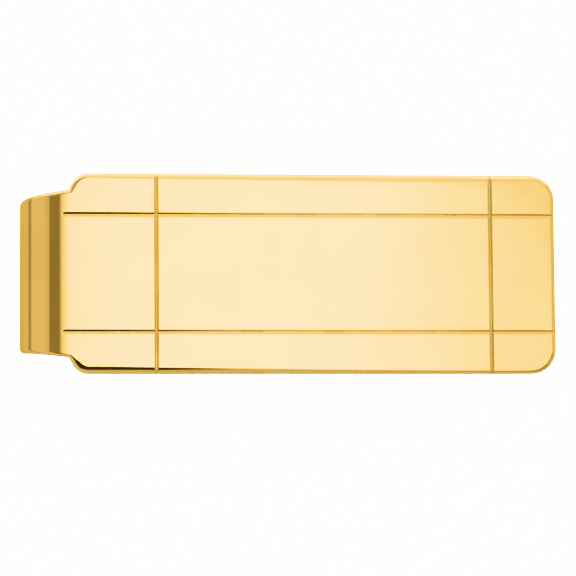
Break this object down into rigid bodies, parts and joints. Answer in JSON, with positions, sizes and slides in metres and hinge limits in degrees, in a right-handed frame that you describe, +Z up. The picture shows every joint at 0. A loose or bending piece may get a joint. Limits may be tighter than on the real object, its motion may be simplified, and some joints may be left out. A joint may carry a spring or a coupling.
{
  "type": "money clip",
  "caption": "Folded-strip money clip: a wide notched face with crossing cut lines, a rolled spring bend, and a tapering leaf with a grip crown and lead-in lip.",
  "frame": {"origin": "middle of the bounding box at its lowest level, which is the table that the clip rests on, on its rolled bend and the edge of its lead-in lip", "axes": "+X along the clip from the rolled bend to the face's free end, +Y across the face, +Z up from the table; the face slopes down towards +X by the resting angle"},
  "size_m": [0.0542, 0.0202, 0.0094],
  "materials": {
    "gold_plate": "mirror-polished gold plate over hard brass strip"
  },
  "bodies": {
    "leaf": {"spring_bend": "gold_plate", "back_leaf": "gold_plate", "grip_crown": "gold_plate", "lead_in_lip": "gold_plate"},
    "face": {"face_plate": "gold_plate"}
  },
  "joints": [
    {"name": "clip_opening", "type": "hinge", "parent": "leaf", "child": "face", "pos_m": [-0.02239, 0, 0.0047], "axis": [0, -1, 0], "range_deg": [0, 6], "stiffness_Nm_per_rad": 5, "deforming": ["spring_bend"]}
  ]
}
